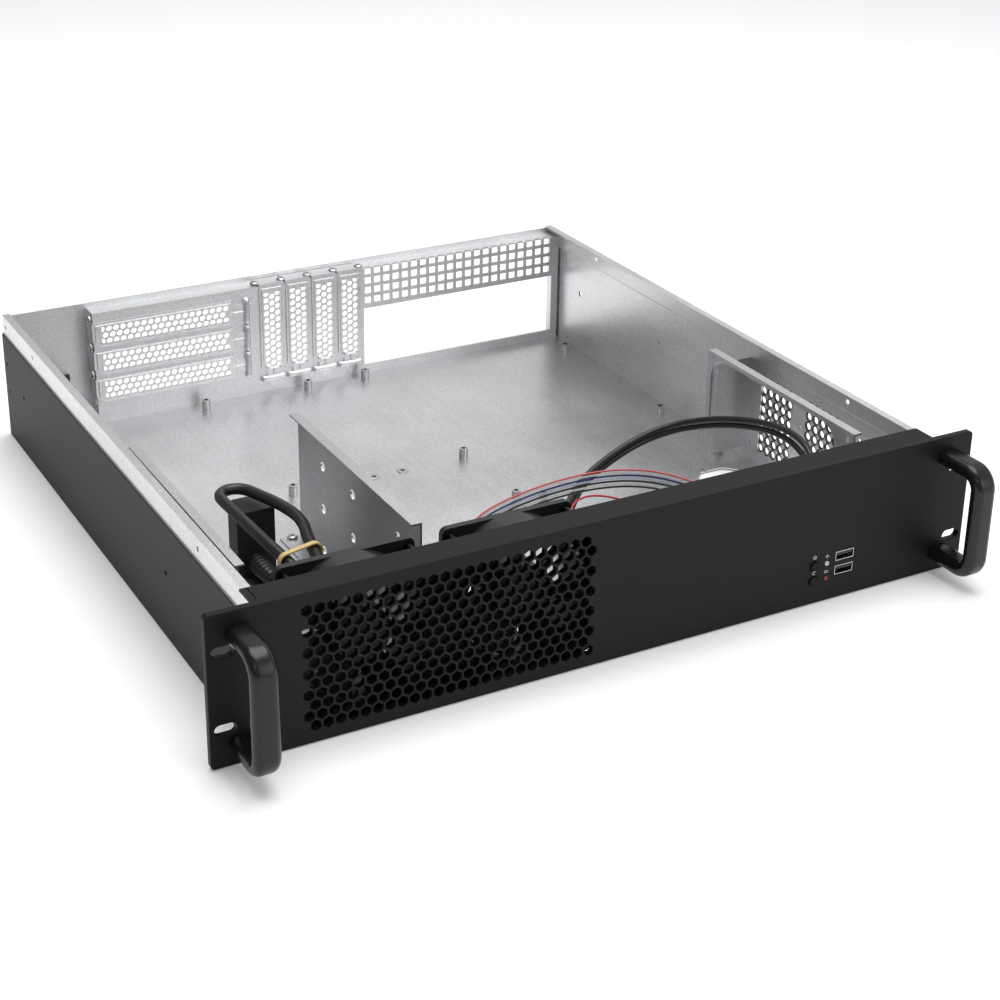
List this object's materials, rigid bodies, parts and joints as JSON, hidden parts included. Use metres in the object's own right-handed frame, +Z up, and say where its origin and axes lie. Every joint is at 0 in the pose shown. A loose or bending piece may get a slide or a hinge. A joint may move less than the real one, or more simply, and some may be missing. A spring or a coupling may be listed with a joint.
{
  "type": "rackmount server case",
  "caption": "Open two-unit rack case: folded steel tray, thick front panel with handles and hexagon grille, slot covers, fans, drive cage and loose cables.",
  "frame": {"origin": "under the middle of the case's overall box, on the surface it stands on", "axes": "+X to the right seen from the front, +Y from the front panel to the rear, +Z up"},
  "size_m": [0.4826, 0.4832, 0.0883],
  "materials": {
    "black_paint": "fine matt powder coat",
    "black_handle": "satin coat on solid bar",
    "zinc_steel": "zinc-coated sheet, black powder coat on the tray's outer walls",
    "cover_steel": "zinc-coated sheet",
    "bright_screw": "bright plated",
    "black_plastic": "moulded, fine grain",
    "green_board": "coated circuit board",
    "power_lens": "clear lens",
    "activity_lens": "red lens",
    "cord_black": "smooth jacket",
    "band_yellow": "stretched rubber",
    "wire_red": "wire insulation",
    "wire_white": "wire insulation",
    "wire_blue": "wire insulation",
    "wire_pale": "wire insulation"
  },
  "bodies": {
    "case": {"activity_light": "activity_lens", "bay_divider": "zinc_steel", "bay_rail": "zinc_steel", "board_bracket": "zinc_steel", "board_standoffs": "bright_screw", "board_studs": "bright_screw", "button_switches": "black_plastic", "chassis_tray": "zinc_steel", "control_board": "green_board", "cord_band": "band_yellow", "cord_plug": "black_plastic", "cover_side_screws": "bright_screw", "fan_frame_left": "black_plastic", "fan_frame_right": "black_plastic", "fan_lead": "wire_red", "fan_lead_plug": "black_plastic", "fan_screws": "bright_screw", "fan_wall": "zinc_steel", "flush_nuts": "bright_screw", "foot_screws": "bright_screw", "front_frame": "black_paint", "front_panel": "black_paint", "handle_bolts": "bright_screw", "inlet_socket": "black_plastic", "left_handle": "black_handle", "port_cable_lower": "cord_black", "port_cable_upper": "cord_black", "port_header": "black_plastic", "port_shells": "bright_screw", "port_tongues": "black_plastic", "power_cord": "cord_black", "power_light": "power_lens", "rear_panel": "zinc_steel", "right_handle": "black_handle", "slot_cover_lying_1": "cover_steel", "slot_cover_lying_2": "cover_steel", "slot_cover_lying_3": "cover_steel", "slot_cover_upright_1": "cover_steel", "slot_cover_upright_2": "cover_steel", "slot_cover_upright_3": "cover_steel", "slot_cover_upright_4": "cover_steel", "slot_screws": "bright_screw", "supply_brace": "zinc_steel", "supply_plate": "zinc_steel", "wire_black_one": "cord_black", "wire_black_two": "cord_black", "wire_blue": "wire_blue", "wire_pale_blue": "wire_pale", "wire_plugs": "black_plastic", "wire_red": "wire_red", "wire_white_one": "wire_white", "wire_white_two": "wire_white"},
    "fan_rotor_left": {"fan_rotor_left": "black_plastic"},
    "fan_rotor_right": {"fan_rotor_right": "black_plastic"},
    "power_button": {"power_button": "black_plastic"},
    "reset_button": {"reset_button": "black_plastic"}
  },
  "joints": [
    {"name": "left_fan_spin", "type": "hinge", "parent": "case", "child": "fan_rotor_left", "pos_m": [-0.1476, -0.17517, 0.0425], "axis": [0, 1, 0], "continuous": true},
    {"name": "right_fan_spin", "type": "hinge", "parent": "case", "child": "fan_rotor_right", "pos_m": [-0.0512, -0.17517, 0.0425], "axis": [0, 1, 0], "continuous": true},
    {"name": "power_press", "type": "slide", "parent": "case", "child": "power_button", "axis": [0, 1, 0], "range_m": [0, 0.001], "stiffness_N_per_m": 300},
    {"name": "reset_press", "type": "slide", "parent": "case", "child": "reset_button", "axis": [0, 1, 0], "range_m": [0, 0.001], "stiffness_N_per_m": 300}
  ]
}
